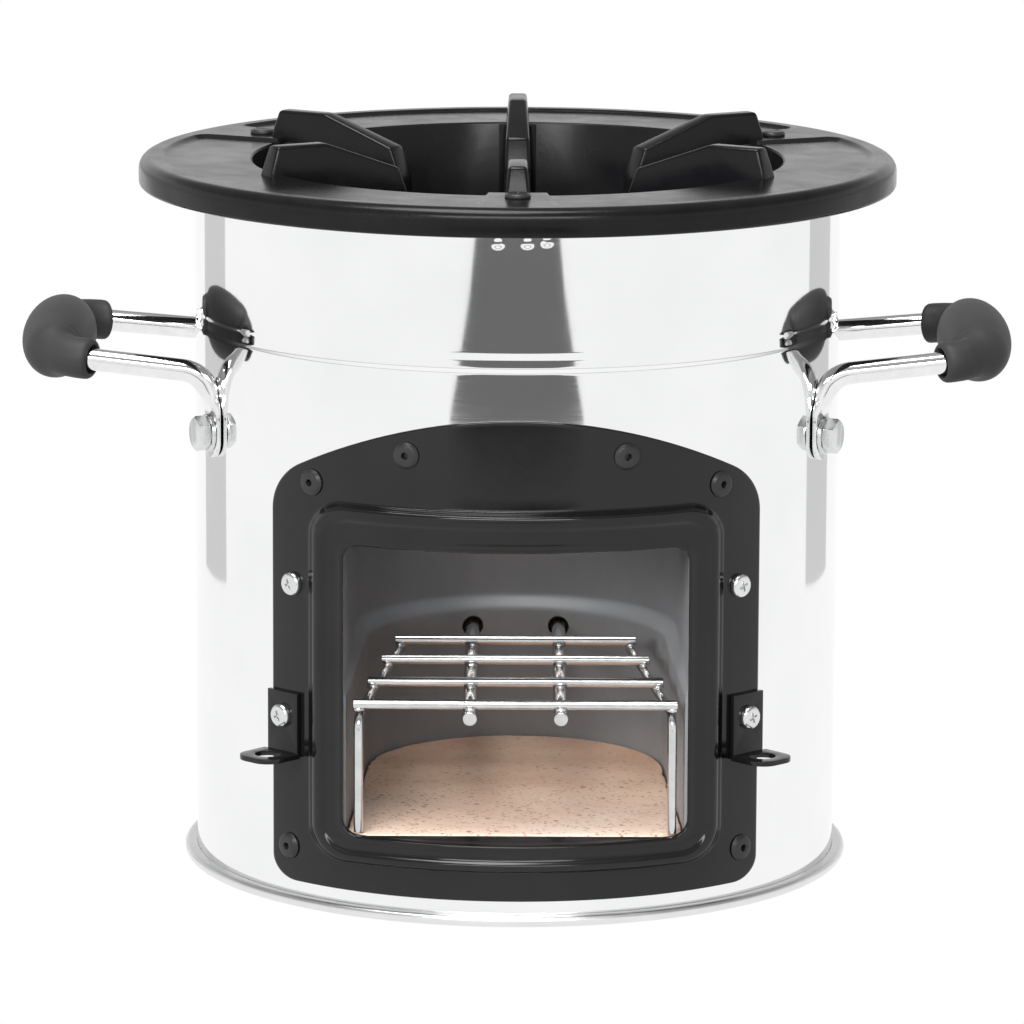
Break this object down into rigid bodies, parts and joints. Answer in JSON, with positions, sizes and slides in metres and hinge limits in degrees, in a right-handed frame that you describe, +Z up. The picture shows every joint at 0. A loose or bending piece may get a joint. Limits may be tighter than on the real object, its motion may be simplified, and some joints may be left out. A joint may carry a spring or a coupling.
{
  "type": "rocket stove",
  "caption": "Round portable wood-burning rocket stove with a front fuel door, a pull-out wire grate, a cast pot ring with raised supports and two carrying handles.",
  "frame": {"origin": "centre of the round base, on the ground", "axes": "+Z up, fuel door facing -Y, carrying handles along +X and -X"},
  "size_m": [0.425, 0.3246, 0.316],
  "materials": {
    "stainless": "polished stainless sheet",
    "stainless_pan": "polished stainless sheet",
    "cast_iron_enamel": "semi-gloss black enamel on cast iron",
    "black_enamel": "semi-gloss black enamel on pressed steel",
    "black_fastener": "black oxide, satin",
    "zinc": "bright zinc plate",
    "liner_steel": "dark grey satin enamel",
    "refractory": "fired refractory, matt, flecked",
    "mineral_wool": "loose mineral wool",
    "bright_steel": "bright chromed tube",
    "grip_plastic": "matt moulded black",
    "grate_steel": "bright drawn wire"
  },
  "bodies": {
    "root": {"outer_shell": "stainless", "base_pan": "stainless_pan", "pot_ring": "cast_iron_enamel", "ring_screws": "black_fastener", "ring_nuts": "zinc", "top_deck": "liner_steel", "chimney_tube": "liner_steel", "fire_chamber": "liner_steel", "chamber_roof": "liner_steel", "chamber_floor": "liner_steel", "floor_brick": "refractory", "insulation_wool": "mineral_wool", "door_frame": "black_enamel", "frame_rivets": "black_fastener", "frame_screws": "zinc", "frame_screw_nuts": "zinc", "hook_bracket_left": "black_enamel", "hook_bracket_right": "black_enamel", "handle_rod_left": "bright_steel", "handle_rod_right": "bright_steel", "handle_grip_left": "grip_plastic", "handle_grip_right": "grip_plastic", "handle_bolts": "zinc", "handle_washers": "zinc", "handle_nuts": "zinc"},
    "grate": {"grate_bar_1": "grate_steel", "grate_bar_2": "grate_steel", "grate_bar_3": "grate_steel", "grate_bar_4": "grate_steel", "grate_rod_left": "grate_steel", "grate_rod_right": "grate_steel", "grate_leg_left": "grate_steel", "grate_leg_right": "grate_steel"}
  },
  "joints": [
    {"name": "grate_slide", "type": "slide", "parent": "root", "child": "grate", "axis": [0, -1, 0], "range_m": [0, 0.215]}
  ]
}
